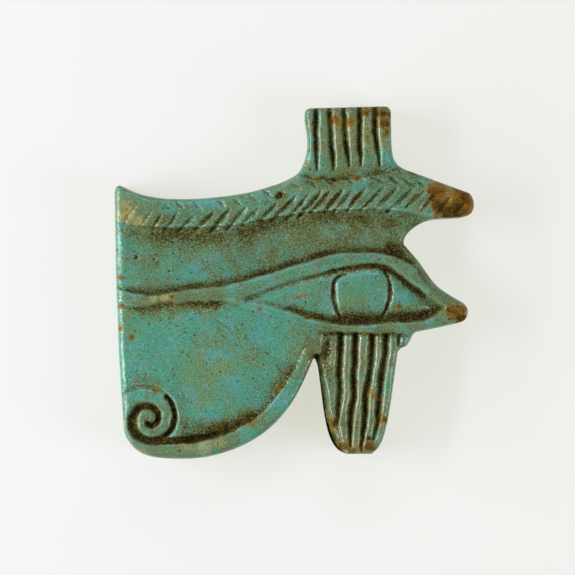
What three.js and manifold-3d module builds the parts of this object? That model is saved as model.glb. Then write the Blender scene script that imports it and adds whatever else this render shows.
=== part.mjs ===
// Wedjat eye amulet: one moulded piece of glazed faience, lying on its flat back.
// Units are millimetres. +X runs from the straight edge to the brow's tip, +Y is up the
// eye's forehead side, and +Z comes out of the carved face.

import * as THREE from 'three';
import { ParametricGeometry } from 'three/addons/geometries/ParametricGeometry.js';
import { mergeVertices } from 'three/addons/utils/BufferGeometryUtils.js';
import Module from 'manifold-3d';

const wasm = await Module();
wasm.setup();

// Driving dimensions
const amuletWidth = 50;        // straight edge to the brow's tip
const thickness = 7.6;         // flat back to the highest carving
const cordBore = 2.2;          // hole for the string, across the ribbed loop
const boreOverBack = 3.5;      // axis of that hole over the flat back
const edgeRounding = 0.45;     // how far the rim draws in at the front
const edgeRoundingDepth = 2;   // how far down the side that rounding reaches

// Depths of the carving under the highest level
const upperFieldDepth = 1.25;
const lowerFieldDepth = 1.2;
const socketDepth = 1.3;
const markStep = 0.45;         // the cheek mark lies this much under the lids
const loopStep = 0.5;          // the loop lies this much under the brow

// Widths and depths of the incised lines
const browStroke = { width: 0.8, depth: 0.55 };
const irisLine = { width: 0.62, depth: 0.75 };
const scrollGroove = { width: 0.9, depth: 1.05 };
const loopGroove = { width: 1, depth: 0.6 };
const markGroove = { width: 1.05, depth: 0.9 };
const markFlank = { width: 1.9, depth: 1.5 };
const mouthLine = { width: 0.5, depth: 0.45 };

// Profiles of the sunken fields, as shares of their depth or breadth
const uprightWall = 0.3;       // this much of a field's wall stands upright
const wallReach = 0.06;        // the rest of the wall slopes down over this breadth
const runOutReach = 0.12;      // a pointed field grows shallow over this length
const eyeballRise = 0.88;      // the eyeball swells up this much of the socket's depth
const cheekRise = 0.72;        // the cheek field swells up this much of its depth
const cheekFootDepth = 0.55;   // and is this deep beside the scroll
const coveDip = 0.82;          // the cove's middle
const coveGully = 0.4;         // extra depth where the cove meets the lid

// Numbers of the repeated strokes
const lowerStrokes = 21;
const upperStrokes = 17;

// How the cutters are made
const cutterRise = 1;          // a cutter reaches this far over the highest level
const rimSegments = 3;
const curveSegments = 3;
const mergeTolerance = 1e-4;

// The eye's free form is drawn in shares of its width, from its lowest left corner.
const at = (across, up) => new THREE.Vector2((across - 0.5) * amuletWidth, up * amuletWidth);
const through = (shares) => shares.map(([across, up]) => at(across, up));
const line = (...shares) => new THREE.SplineCurve(through(shares));

// Manifold solid of a closed three.js geometry, without its triangles of no area.
function solidOf(geometry) {
  geometry.deleteAttribute('normal');
  geometry.deleteAttribute('uv');
  const merged = mergeVertices(geometry, mergeTolerance);
  const corners = merged.index.array;
  const kept = [];
  for (let i = 0; i < corners.length; i += 3) {
    const [a, b, c] = [corners[i], corners[i + 1], corners[i + 2]];
    if (a !== b && b !== c && c !== a) kept.push(a, b, c);
  }
  return new wasm.Manifold(new wasm.Mesh({
    numProp: 3,
    vertProperties: new Float32Array(merged.attributes.position.array),
    triVerts: new Uint32Array(kept),
  }));
}

function geometryOf(solid) {
  const mesh = solid.getMesh();
  const geometry = new THREE.BufferGeometry();
  geometry.setAttribute('position', new THREE.BufferAttribute(new Float32Array(mesh.vertProperties), 3));
  geometry.setIndex(new THREE.BufferAttribute(new Uint32Array(mesh.triVerts), 1));
  return geometry;
}

// The silhouette, counter-clockwise from the foot of the straight edge.
function outline() {
  const shape = new THREE.Shape();
  const goTo = (...shares) => shape.splineThru(through(shares));

  shape.moveTo(...at(0.036, 0.055));
  // tail, cheek gap and cheek mark
  goTo([0.06, 0.026], [0.099, 0.007], [0.16, 0], [0.238, 0.002], [0.307, 0.017], [0.377, 0.046],
    [0.433, 0.085], [0.477, 0.132], [0.51, 0.182], [0.538, 0.241], [0.5545, 0.281]);
  goTo([0.566, 0.257], [0.574, 0.202], [0.584, 0.124], [0.598, 0.063], [0.619, 0.026], [0.644, 0.012]);
  shape.lineTo(...at(0.716, 0.013));
  goTo([0.739, 0.038], [0.755, 0.082], [0.769, 0.157], [0.779, 0.232], [0.788, 0.296]);
  // worn stub behind the mark, then the corner of the eye
  goTo([0.798, 0.307], [0.812, 0.313], [0.823, 0.33], [0.833, 0.348], [0.85, 0.354], [0.905, 0.365],
    [0.962, 0.379], [0.978, 0.391], [0.983, 0.41], [0.974, 0.429], [0.953, 0.442], [0.922, 0.461],
    [0.894, 0.483], [0.869, 0.515], [0.846, 0.548], [0.816, 0.583], [0.806, 0.595]);
  // notch and the brow's tip
  goTo([0.806, 0.608], [0.818, 0.628], [0.844, 0.649], [0.878, 0.663], [0.919, 0.667], [0.975, 0.672],
    [0.996, 0.688], [0.999, 0.713], [0.989, 0.734], [0.969, 0.744], [0.828, 0.796]);
  // loop
  goTo([0.797, 0.809], [0.779, 0.829], [0.772, 0.858], [0.77, 0.9], [0.769, 0.961]);
  shape.quadraticCurveTo(...at(0.768, 0.979), ...at(0.751, 0.979));
  shape.lineTo(...at(0.547, 0.974));
  shape.quadraticCurveTo(...at(0.528, 0.972), ...at(0.529, 0.958));
  goTo([0.53, 0.936], [0.537, 0.892], [0.535, 0.853], [0.524, 0.815], [0.505, 0.788], [0.46, 0.765]);
  // top of the brow and the straight edge
  goTo([0.377, 0.74], [0.28, 0.726], [0.196, 0.721], [0.127, 0.724], [0.071, 0.735], [0.021, 0.757]);
  shape.quadraticCurveTo(...at(0.005, 0.766), ...at(0.001, 0.741));
  shape.quadraticCurveTo(...at(0.003, 0.385), ...at(0.026, 0.088));
  shape.quadraticCurveTo(...at(0.028, 0.068), ...at(0.036, 0.055));
  return shape;
}

function body() {
  const extruded = new THREE.ExtrudeGeometry(outline(), {
    depth: thickness,
    curveSegments,
    bevelThickness: edgeRoundingDepth,
    bevelSize: edgeRounding,
    bevelOffset: -edgeRounding,
    bevelSegments: rimSegments,
  });
  extruded.translate(0, 0, -edgeRoundingDepth);
  const underBack = new THREE.BoxGeometry(2 * amuletWidth, 2 * amuletWidth, 2 * edgeRoundingDepth);
  underBack.translate(0, amuletWidth / 2, -edgeRoundingDepth);
  return solidOf(extruded).subtract(solidOf(underBack));
}

// A closed cutter over the ring of points ring(along), shut by a point at both ends.
function loft(ring, steps) {
  const rings = [];
  for (let i = 0; i <= steps; i++) rings.push(ring(i / steps));
  const middle = (points) => points
    .reduce((sum, point) => sum.add(point), new THREE.Vector3())
    .divideScalar(points.length);
  const first = rings[0].map(() => middle(rings[0]));
  const last = rings[steps].map(() => middle(rings[steps]));
  const all = [first, ...rings, last];
  const around = all[0].length;
  return solidOf(new ParametricGeometry((u, v, target) => {
    const points = all[Math.round(u * (all.length - 1))];
    target.copy(points[Math.round(v * around) % around]);
  }, all.length - 1, around));
}

// Sunken field between two border lines. floor(along, across) is its depth.
const acrossStops = [0, 0.06, 0.14, 0.28, 0.5, 0.72, 0.86, 0.94, 1];
function field(upperBorder, lowerBorder, floor, steps) {
  return loft((along) => {
    const upper = upperBorder.getPoint(along);
    const lower = lowerBorder.getPoint(along);
    const points = acrossStops.map((across) => {
      const spot = upper.clone().lerp(lower, across);
      return new THREE.Vector3(spot.x, spot.y, thickness - floor(along, across));
    });
    points.push(new THREE.Vector3(lower.x, lower.y, thickness + cutterRise));
    points.push(new THREE.Vector3(upper.x, upper.y, thickness + cutterRise));
    return points;
  }, steps);
}

// Incised line along a path, narrower towards its ends by the share endWidth.
function groove(path, { width, depth }, level, steps, endWidth = 0.35) {
  return loft((along) => {
    const spot = path.getPoint(along);
    const heading = path.getTangent(along);
    const swell = endWidth + (1 - endWidth) * Math.sin(Math.PI * along) ** 0.6;
    const corner = (aside, height) => new THREE.Vector3(
      spot.x - heading.y * aside * width * swell,
      spot.y + heading.x * aside * width * swell,
      height,
    );
    const bottom = level - depth * swell;
    const top = thickness + cutterRise;
    return [
      corner(0.5, top), corner(0.5, level), corner(0.2, bottom),
      corner(-0.2, bottom), corner(-0.5, level), corner(-0.5, top),
    ];
  }, steps);
}

// Sloped wall at the border of a field, then a cushion that swells up between the borders.
// Both are shares of the field's depth.
const ramp = (share) => Math.min(1, uprightWall + (1 - uprightWall) * share);
const wall = (across) => ramp(Math.min(across, 1 - across) / wallReach);
const cushion = (across, rise) => wall(across) * (1 - rise * Math.sin(Math.PI * across) ** 1.1);
const runOut = (left) => ramp(left / runOutReach);

// Cove between the brow and the upper lid, deepest just over the lid
function upperField() {
  const underBrow = line([-0.04, 0.661], [0.01, 0.656], [0.071, 0.647], [0.149, 0.641], [0.238, 0.644],
    [0.327, 0.654], [0.41, 0.67], [0.488, 0.684], [0.572, 0.695], [0.655, 0.704], [0.739, 0.705],
    [0.808, 0.697], [0.864, 0.684], [0.919, 0.663], [0.96, 0.6], [0.97, 0.53], [1.01, 0.46]);
  const overLid = line([-0.04, 0.463], [0.01, 0.463], [0.063, 0.458], [0.14, 0.462], [0.21, 0.471],
    [0.299, 0.484], [0.388, 0.503], [0.471, 0.527], [0.549, 0.552], [0.622, 0.572], [0.688, 0.574],
    [0.744, 0.572], [0.789, 0.555], [0.821, 0.533], [0.845, 0.5], [0.872, 0.469], [0.91, 0.44]);
  const floor = (along, across) => {
    const dip = coveDip * Math.sin(Math.PI * across) ** 0.5 + coveGully * across ** 4;
    return upperFieldDepth * runOut(1 - along) * Math.max(0.1, dip) * (across < 1 ? 1 : 0.5);
  };
  return field(underBrow, overLid, floor, 34);
}

// Almond socket, in which the eyeball swells up again
function socket() {
  const upperLid = line([0.357, 0.447], [0.41, 0.468], [0.488, 0.495], [0.572, 0.519], [0.655, 0.538],
    [0.722, 0.545], [0.772, 0.53], [0.822, 0.494], [0.872, 0.451], [0.905, 0.428]);
  const lowerLid = line([0.357, 0.443], [0.41, 0.428], [0.488, 0.405], [0.572, 0.384], [0.655, 0.373],
    [0.727, 0.373], [0.789, 0.38], [0.844, 0.387], [0.882, 0.401], [0.905, 0.422]);
  return field(upperLid, lowerLid, (along, across) => (
    socketDepth * runOut(Math.min(along, 1 - along)) * cushion(across, eyeballRise)
  ), 26);
}

// Cheek field, a low cushion between the long line, the lower lid and the tail
function lowerField() {
  const underLine = line([-0.04, 0.413], [0.03, 0.414], [0.099, 0.421], [0.182, 0.432], [0.252, 0.436],
    [0.316, 0.438], [0.36, 0.427], [0.399, 0.41], [0.438, 0.397], [0.48, 0.383], [0.516, 0.372],
    [0.544, 0.36]);
  const insideTail = line([-0.04, 0.185], [0.03, 0.188], [0.099, 0.196], [0.15, 0.178], [0.172, 0.12],
    [0.178, 0.05], [0.245, 0.049], [0.335, 0.079], [0.41, 0.128], [0.474, 0.203], [0.519, 0.282],
    [0.544, 0.354]);
  return field(underLine, insideTail, (along, across) => {
    const besideScroll = along < 0.5 && across > 0.5;
    return lowerFieldDepth * cushion(across, cheekRise) * (besideScroll ? cheekFootDepth : 1);
  }, 26);
}

// The cheek mark and the loop lie a step under what they grow out of.
function steps() {
  const underLid = line([0.578, 0.352], [0.7, 0.353], [0.83, 0.349]);
  const markFoot = line([0.488, -0.05], [0.7, -0.05], [0.85, -0.05]);
  const overBrow = line([0.49, 1.02], [0.65, 1.02], [0.8, 1.02]);
  const loopFoot = line([0.515, 0.787], [0.555, 0.77], [0.614, 0.77], [0.7, 0.779], [0.785, 0.797]);
  return [
    field(underLid, markFoot, () => markStep, 8),
    field(overBrow, loopFoot, () => loopStep, 8),
  ];
}

// Slanting strokes of the brow, in two rows that meet on its middle line
function browStrokes() {
  const middle = line([0.06, 0.694], [0.174, 0.686], [0.26, 0.69], [0.365, 0.703], [0.46, 0.718],
    [0.52, 0.739], [0.599, 0.752], [0.68, 0.757], [0.78, 0.756], [0.86, 0.738], [0.975, 0.702]);
  const row = (count, from, to, reach) => Array.from({ length: count }, (_, i) => {
    const start = middle.getPointAt(from + (to - from) * i / (count - 1));
    const stroke = new THREE.LineCurve(start, start.clone().add(reach));
    return groove(stroke, browStroke, thickness, 3);
  });
  const below = at(-0.042, -0.035).sub(at(0, 0));
  const above = at(-0.027, 0.018).sub(at(0, 0));
  return [
    ...row(lowerStrokes, 0.02, 0.99, below),
    ...row(upperStrokes, 0.16, 0.86, above),
  ];
}

function irisLines() {
  const left = line([0.637, 0.515], [0.612, 0.492], [0.607, 0.458], [0.61, 0.43], [0.622, 0.404]);
  const right = line([0.752, 0.516], [0.763, 0.488], [0.765, 0.463], [0.76, 0.435], [0.746, 0.406]);
  return [left, right].map((path) => groove(path, irisLine, thickness - 0.1, 8, 0.6));
}

// Scroll at the foot of the straight edge: a spiral groove about its centre
class Scroll extends THREE.Curve {
  getPoint(along, target = new THREE.Vector2()) {
    const [outer, inner] = [0.078, 0.0146];
    const [startAngle, sweep] = [THREE.MathUtils.degToRad(52), THREE.MathUtils.degToRad(519)];
    const reach = inner + (outer - inner) * (1 - along) ** 1.11;
    const angle = startAngle - sweep * along;
    return target.copy(at(0.097 + reach * Math.cos(angle), 0.1115 + reach * Math.sin(angle)));
  }
}

function scroll() {
  const turnIn = line([0.262, 0.052], [0.21, 0.05], [0.165, 0.046], [0.13, 0.045], [0.085, 0.054]);
  return [
    groove(new Scroll(), scrollGroove, thickness, 44, 0.7),
    groove(turnIn, scrollGroove, thickness, 8, 0.5),
  ];
}

// Ribs of the loop and of the cheek mark, parted by grooves between a head and a foot
function ribs() {
  const loopHeads = [[0.56, 0.972], [0.6, 0.96], [0.639, 0.96], [0.68, 0.957], [0.724, 0.96]];
  const loopFeet = [[0.561, 0.802], [0.606, 0.806], [0.647, 0.82], [0.682, 0.825], [0.733, 0.83]];
  const markHeads = [[0.632, 0.34], [0.675, 0.34], [0.718, 0.34], [0.753, 0.34]];
  const markFeet = [[0.63, 0.06], [0.654, 0.03], [0.689, 0.03], [0.727, 0.045]];
  const between = (heads, feet, size, step) => heads.map((head, i) => (
    groove(new THREE.LineCurve(at(...head), at(...feet[i])), size, thickness - step, 6, 0.5)
  ));
  const flank = line([0.566, 0.29], [0.577, 0.2], [0.588, 0.12], [0.602, 0.06], [0.63, 0.01]);
  return [
    ...between(loopHeads, loopFeet, loopGroove, loopStep),
    ...between(markHeads, markFeet, markGroove, markStep),
    groove(flank, markFlank, thickness - markStep, 8, 0.6),
  ];
}

function mouth() {
  const path = line([0.939, 0.391], [0.962, 0.394], [0.99, 0.396]);
  return groove(path, mouthLine, thickness, 3, 0.8);
}

// Hole for the string, from one side of the loop to the other
function bore() {
  const drill = new THREE.CylinderGeometry(cordBore / 2, cordBore / 2, amuletWidth, 20);
  drill.rotateZ(Math.PI / 2);
  const middle = at(0.65, 0.892);
  drill.translate(middle.x, middle.y, boreOverBack);
  return solidOf(drill);
}

function amulet() {
  const cutters = [
    upperField(), socket(), lowerField(), ...steps(), ...browStrokes(), ...irisLines(),
    ...scroll(), ...ribs(), mouth(), bore(),
  ];
  const carved = cutters.reduce((solid, cutter) => solid.subtract(cutter), body());
  const geometry = geometryOf(carved);
  geometry.computeBoundingBox();
  const centre = geometry.boundingBox.getCenter(new THREE.Vector3());
  geometry.translate(-centre.x, -centre.y, 0);
  geometry.computeVertexNormals();
  const faience = new THREE.MeshStandardMaterial({ color: 0x66917b, roughness: 0.38, metalness: 0 });
  const mesh = new THREE.Mesh(geometry, faience);
  mesh.name = 'wedjat_eye_amulet';
  return mesh;
}

const part = new THREE.Group();
part.add(amulet());

export default part;
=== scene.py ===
import math

import bmesh
import bpy
import numpy as np
from mathutils import Matrix, Vector


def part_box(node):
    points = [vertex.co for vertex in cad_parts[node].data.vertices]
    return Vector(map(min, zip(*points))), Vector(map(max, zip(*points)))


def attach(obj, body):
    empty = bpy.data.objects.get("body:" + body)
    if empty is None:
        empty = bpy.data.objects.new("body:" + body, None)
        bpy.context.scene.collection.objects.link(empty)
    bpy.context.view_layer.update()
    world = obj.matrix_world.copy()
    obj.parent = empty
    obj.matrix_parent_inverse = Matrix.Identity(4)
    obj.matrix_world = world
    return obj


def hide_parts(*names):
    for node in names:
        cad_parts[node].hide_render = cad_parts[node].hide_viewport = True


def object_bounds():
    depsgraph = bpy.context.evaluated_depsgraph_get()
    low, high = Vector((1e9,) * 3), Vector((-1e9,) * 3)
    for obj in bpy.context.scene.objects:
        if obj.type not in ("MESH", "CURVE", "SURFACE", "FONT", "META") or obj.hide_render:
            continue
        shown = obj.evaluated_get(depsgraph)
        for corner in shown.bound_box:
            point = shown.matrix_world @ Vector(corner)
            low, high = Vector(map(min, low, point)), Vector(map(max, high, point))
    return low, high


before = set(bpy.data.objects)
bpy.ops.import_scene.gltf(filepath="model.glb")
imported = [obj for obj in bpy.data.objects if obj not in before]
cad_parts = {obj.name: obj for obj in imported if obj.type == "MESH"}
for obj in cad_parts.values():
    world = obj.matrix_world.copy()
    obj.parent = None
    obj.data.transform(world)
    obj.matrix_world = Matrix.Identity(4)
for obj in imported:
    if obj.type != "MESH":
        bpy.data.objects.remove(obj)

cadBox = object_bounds()
mm = 0.001
nodeName = "wedjat_eye_amulet"
solidLow, solidHigh = (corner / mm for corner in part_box(nodeName))
solidSize = solidHigh - solidLow
percent = solidSize.x / 100  # a hundredth of the amulet's width
middleUp = 50 * solidSize.y / solidSize.x  # half the height, in those hundredths
print("frame read, solid", [round(side, 2) for side in solidSize], "mm")


# Measuring tools. Places are (across, up) in hundredths of the width, from the lowest left corner.
def at(places):
    return (np.array(places, float).reshape(-1, 2) - (50, middleUp)) * percent


def smooth(low, high, value):
    share = np.clip((value - low) / (high - low), 0, 1)
    return share * share * (3 - 2 * share)


def spline(places, steps=6):  # Catmull-Rom curve, in millimetres
    p = at(places)
    p = np.vstack([2 * p[0] - p[1], p, 2 * p[-1] - p[-2]])
    t = np.linspace(0, 1, steps, endpoint=False)[:, None]
    parts = []
    for a, b, c, d in zip(p[:-3], p[1:-2], p[2:-1], p[3:]):
        parts.append(0.5 * (2 * b + (c - a) * t + (2 * a - 5 * b + 4 * c - d) * t ** 2
                            + (3 * b - a - 3 * c + d) * t ** 3))
    return np.vstack(parts + [p[-2:-1]])


def nearest(curve, spots, limit=3.2):  # distance to a curve up to a limit, and the share along it
    best = np.full(len(spots), limit)
    along = np.full(len(spots), 0.5)
    close = np.flatnonzero(np.all((spots > curve.min(0) - limit) & (spots < curve.max(0) + limit), axis=1))
    x, y = spots[close].T
    squared, part = np.full(len(close), limit ** 2), along[close]
    for i, ((x0, y0), (x1, y1)) in enumerate(zip(curve[:-1], curve[1:])):
        runX, runY = x1 - x0, y1 - y0
        share = np.clip(((x - x0) * runX + (y - y0) * runY) / max(runX ** 2 + runY ** 2, 1e-12), 0, 1)
        gap = (x - x0 - share * runX) ** 2 + (y - y0 - share * runY) ** 2
        closer = gap < squared
        squared[closer] = gap[closer]
        part[closer] = (i + share[closer]) / (len(curve) - 1)
    best[close], along[close] = np.sqrt(squared), part
    return best, along


def inside(border, spots):  # which spots a closed border holds
    within = np.zeros(len(spots), bool)
    x, y = spots.T
    for (x0, y0), (x1, y1) in zip(border, np.roll(border, -1, 0)):
        if y0 != y1:
            within ^= ((y0 > y) != (y1 > y)) & (x < (x1 - x0) * (y - y0) / (y1 - y0) + x0)
    return within


def signed(border, curve, spots):  # distance to a curve, below zero outside its border
    gap, along = nearest(curve, spots)
    return np.where(inside(border, spots), gap, -gap), along


def toBorder(border, spots):  # the same for a whole closed border
    return signed(border, np.vstack([border, border[:1]]), spots)[0]


def drift(spots, size, seed, cells=96):  # soft waves of chance from -1 to 1
    lattice = np.random.default_rng(seed).uniform(-1, 1, (cells + 1, cells + 1))
    cell = spots / size + cells / 2
    low = np.floor(cell).astype(int) % cells
    f = smooth(0, 1, cell - np.floor(cell))
    i, j = low.T
    u, v = f.T
    return ((lattice[i, j] * (1 - u) + lattice[i + 1, j] * u) * (1 - v)
            + (lattice[i, j + 1] * (1 - u) + lattice[i + 1, j + 1] * u) * v)


def waves(spots, kinds):  # drifts laid over each other, each as (size, height, seed)
    return sum(height * drift(spots, size, seed) for size, height, seed in kinds)


# The moulded blank: the solid's own outline as a slab with rounded rims and the bored loop
blank = {
    "readAt": 5.2,  # mm over the back, where the solid's section gives the outline
    "weld": 0.002, "joinPoints": 0.02, "planeGap": 1e-4,  # mm within which points count as one
    "rimInset": 0.8, "rimDepth": 1.15, "rimLeft": 0.35, "backInset": 0.3, "backDepth": 0.35,
    "rimWaves": ((5, 0.15, 41), (1.6, 0.15, 42)),  # size, height, seed
    "rimSearch": 1.5, "cornerGap": 0.18, "onWall": 0.08,
    "boreRadius": 1.1, "boreUp": 3.5, "borePlace": (65, 89.2), "boreLength": 15, "boreSides": 28,
    "boreFlare": 0.3, "flareFrom": 1.4, "flareTo": 0.8, "flareBeyond": 3,
    "voxel": 0.115,
    "triangles": 192000,
}


def makeObject(name, shape):
    mesh = bpy.data.meshes.new(name)
    shape.to_mesh(mesh)
    shape.free()
    made = bpy.data.objects.new(name, mesh)
    bpy.context.scene.collection.objects.link(made)
    return made


def applyModifiers(piece):
    bpy.context.view_layer.update()
    done = bpy.data.meshes.new_from_object(piece.evaluated_get(bpy.context.evaluated_depsgraph_get()))
    piece.modifiers.clear()
    piece.data = done


def readOutline(slab):  # the loop's corners in order
    slab.verts.ensure_lookup_table()
    corner = slab.verts[0]
    edge, border = corner.link_edges[0], []
    while not border or corner is not slab.verts[0]:
        border.append(corner.co.to_2d()[:])
        corner = edge.other_vert(corner)
        edge = next(other for other in corner.link_edges if other is not edge)
    return np.array(border)


def makeSlab():
    slab = bmesh.new()
    slab.from_mesh(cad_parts[nodeName].data)
    bmesh.ops.scale(slab, vec=(1 / mm,) * 3, verts=slab.verts)
    bmesh.ops.remove_doubles(slab, verts=slab.verts, dist=blank["weld"])
    bmesh.ops.bisect_plane(slab, geom=slab.verts[:] + slab.edges[:] + slab.faces[:], dist=blank["planeGap"],
                           plane_co=(0, 0, blank["readAt"]), plane_no=(0, 0, 1),
                           clear_inner=True, clear_outer=True)
    bmesh.ops.remove_doubles(slab, verts=slab.verts, dist=blank["joinPoints"])
    bmesh.ops.translate(slab, vec=(0, 0, -blank["readAt"]), verts=slab.verts)
    border = readOutline(slab)
    back = bmesh.ops.edgeloop_fill(slab, edges=slab.edges[:])["faces"]
    back = bmesh.ops.triangulate(slab, faces=back, ngon_method="EAR_CLIP")["faces"]
    lifted = bmesh.ops.extrude_face_region(slab, geom=back)["geom"]
    bmesh.ops.translate(slab, vec=(0, 0, solidSize.z),
                        verts=[v for v in lifted if isinstance(v, bmesh.types.BMVert)])
    bmesh.ops.recalc_face_normals(slab, faces=slab.faces[:])
    return makeObject("glazed_amulet", slab), border


def makeDrill():  # a rod whose ends flare where the string wore the loop
    drill = bmesh.new()
    half = blank["boreLength"] / 2
    flared, straight = half - blank["flareTo"], half - blank["flareFrom"]
    beyond = blank["flareBeyond"]
    radius, reached = blank["boreRadius"] + beyond * blank["boreFlare"], -half
    ring = bmesh.ops.create_circle(drill, segments=blank["boreSides"], radius=radius, cap_ends=True)
    bmesh.ops.translate(drill, vec=(0, 0, reached), verts=ring["verts"])
    top = drill.faces[:]
    for up, flare in ((-flared, 1), (-straight, 0), (straight, 0), (flared, 1), (half, beyond)):
        grown = bmesh.ops.extrude_face_region(drill, geom=top)["geom"]
        verts = [part for part in grown if isinstance(part, bmesh.types.BMVert)]
        top = [part for part in grown if isinstance(part, bmesh.types.BMFace)]
        newRadius = blank["boreRadius"] + flare * blank["boreFlare"]
        bmesh.ops.translate(drill, vec=(0, 0, up - reached), verts=verts)
        bmesh.ops.scale(drill, vec=(newRadius / radius, newRadius / radius, 1), verts=verts)
        radius, reached = newRadius, up
    bmesh.ops.recalc_face_normals(drill, faces=drill.faces[:])
    bmesh.ops.rotate(drill, matrix=Matrix.Rotation(math.pi / 2, 3, "Y"), verts=drill.verts)
    x, y = at(blank["borePlace"])[0]
    bmesh.ops.translate(drill, vec=(x, y, blank["boreUp"]), verts=drill.verts)
    return makeObject("bore_drill", drill)


def makeBlank():
    piece, border = makeSlab()
    rod = makeDrill()
    cut = piece.modifiers.new("bore", "BOOLEAN")
    cut.operation, cut.object, cut.solver = "DIFFERENCE", rod, "EXACT"
    fine = piece.modifiers.new("fine", "REMESH")
    fine.mode, fine.voxel_size, fine.adaptivity = "VOXEL", blank["voxel"], 0
    applyModifiers(piece)
    bpy.data.objects.remove(rod)
    print("blank made,", len(piece.data.vertices), "points")
    return piece, border


def points(mesh):
    co = np.empty(len(mesh.vertices) * 3)
    mesh.vertices.foreach_get("co", co)
    return co.reshape(-1, 3)


def roundRims(piece, border):  # bends both sharp edges of the blank into quarter ovals
    co = points(piece.data)
    corners = [border[0]]
    for corner in border[1:]:
        if np.hypot(*(corner - corners[-1])) > blank["cornerGap"]:
            corners.append(corner)
    ring = np.array(corners + [border[0]])
    best, along = nearest(ring, co[:, :2], blank["rimSearch"])
    spot = along * (len(ring) - 1)
    start = np.minimum(spot.astype(int), len(ring) - 2)
    outward = ring[start] + (spot - start)[:, None] * (ring[start + 1] - ring[start]) - co[:, :2]
    wall = best < blank["onWall"]  # too near to the border to tell which way is out
    normal = np.empty(len(co) * 3)
    piece.data.vertices.foreach_get("normal", normal)
    normal = normal.reshape(-1, 3)[:, :2]
    outward[wall] = normal[wall]
    outward /= np.maximum(np.hypot(*outward.T), 1e-9)[:, None]
    uneven = 1 + waves(co[:, :2], blank["rimWaves"])
    uneven *= 1 + blank["rimLeft"] * np.clip(-outward[:, 0], 0, 1)
    for edge, way, inset, deep in ((solidSize.z, 1, blank["rimInset"] * uneven, blank["rimDepth"]),
                                   (0, -1, blank["backInset"] * uneven, blank["backDepth"])):
        a = np.clip(1 - best / inset, 0, 1)
        b = np.clip(1 - way * (edge - co[:, 2]) / deep, 0, 1)
        pull = np.maximum(a, b) / np.maximum(np.hypot(a, b), 1e-9)
        both = (a > 0) & (b > 0)
        shift = np.where(both, a * (1 - pull) * inset, 0)
        co[:, :2] -= outward * shift[:, None]
        co[:, 2] = np.where(both, edge - way * (1 - b * pull) * deep, co[:, 2])
    piece.data.vertices.foreach_set("co", co.ravel())
    piece.data.update()


# Carving. Each form takes mm off the front and leaves some earth and painted shade, 1 being a dark groove.
# An Edge is the stretch in mm over which a form sets in, a Run the same as a share of a curve, Ends how
# full a groove starts and stops, and a Loss how much of a form goes where it runs out.
brow = {
    "under": [(-4, 66.1), (1, 65.8), (7.1, 64.9), (14, 64.4), (23.8, 64.5), (33.5, 65), (41.9, 66.6),
              (48.8, 68.1), (57.2, 68.8), (65.5, 69.4), (73.9, 69.4), (79.4, 68.9), (83.6, 68.2),
              (87.8, 67.3), (93.9, 65.8), (96.7, 58), (98.3, 48.3), (101.7, 41.3)],
    "spine": [(-1, 70.6), (4.5, 69.4), (9.9, 68.8), (17.7, 68.6), (27.7, 68.8), (36.6, 69.7), (46, 71.6),
              (54.4, 73.8), (61.6, 75.2), (68, 75.6), (75, 75.7), (82.5, 74.9), (89.7, 73), (97.2, 70.4)],
    "fall": 0.3, "halfBreadth": 2.2, "crown": 0.1,  # drop from the spine, how far off, the level share
    "below": [(6.5, 70.5, 3.2, 66.1), (10.2, 68.6, 7.7, 65.2), (12.9, 67.5, 11.1, 64.6),
              (17.8, 68.3, 14.2, 63.9), (22, 67.6, 18.7, 64.2), (27.6, 68.6, 23.2, 64.6),
              (31.8, 69.1, 27.4, 64.2), (36.7, 69.8, 32.2, 64.8), (39.7, 69.3, 36.3, 66),
              (45.2, 70.9, 40.8, 66.8), (50.5, 73, 44.4, 67.2), (54, 73.4, 48.6, 67.8),
              (57.4, 74.1, 52, 68.4), (59.9, 74.3, 55.3, 69.4), (63.3, 74.4, 59, 69.6),
              (65.9, 74.6, 61.8, 69.8), (69.7, 75.2, 65.4, 70), (74.9, 75.4, 69.4, 70.4),
              (78.4, 75.2, 73.2, 70.2), (82.8, 74.9, 76.8, 69.8), (86, 74.1, 81.8, 70.6),
              (89.4, 73.3, 86, 69.8), (93.3, 72.3, 90.6, 69.3), (97.2, 70.9, 94.6, 68.6)],
    "above": [(14, 70.8, 16.2, 69.2), (17.2, 71.3, 19.3, 69.3), (22.3, 71.2, 24.4, 69.1),
              (28.6, 71.8, 30.6, 69.9), (33.4, 72.1, 35.2, 70.4), (37.6, 73.4, 40.1, 71.4),
              (41.3, 74.5, 43.7, 72.6), (49.1, 76.4, 51.8, 74.6), (53.6, 76.9, 56, 75.2),
              (58.9, 77.7, 61.2, 76.3), (63, 78.1, 66.6, 76.4), (67.4, 78.9, 69.8, 77),
              (71, 78.5, 74.9, 76.5), (76.4, 78.5, 79.2, 76.4), (79.8, 78.3, 83.4, 75.7),
              (84.2, 77.3, 86.6, 75.2)],
    "rows": (("below", 1.0, (0.45, 0.6), 0.2), ("above", 0.62, (0.5, 0.5), 0)),  # firmness, ends, overrun
    "strokeWidth": 1.4, "strokeDepth": 0.48, "sharp": 1.6, "strokeEarth": 0.15, "strokeSteps": 4,
    "bend": 0.25, "pressure": (0.88, 1.14),
    "wornTo": 22, "wornShare": 0.35,  # strokes are worn left of this place
    "notch": 0.4, "notchFrom": 0.3,  # the strokes nick the band's lower edge
    "farCorners": [(103, 41), (103, 104), (-4, 104)],
    "pit": (46, 73.4, 0.72, 0.4),  # across, up, radius in mm, depth in mm
}
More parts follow.
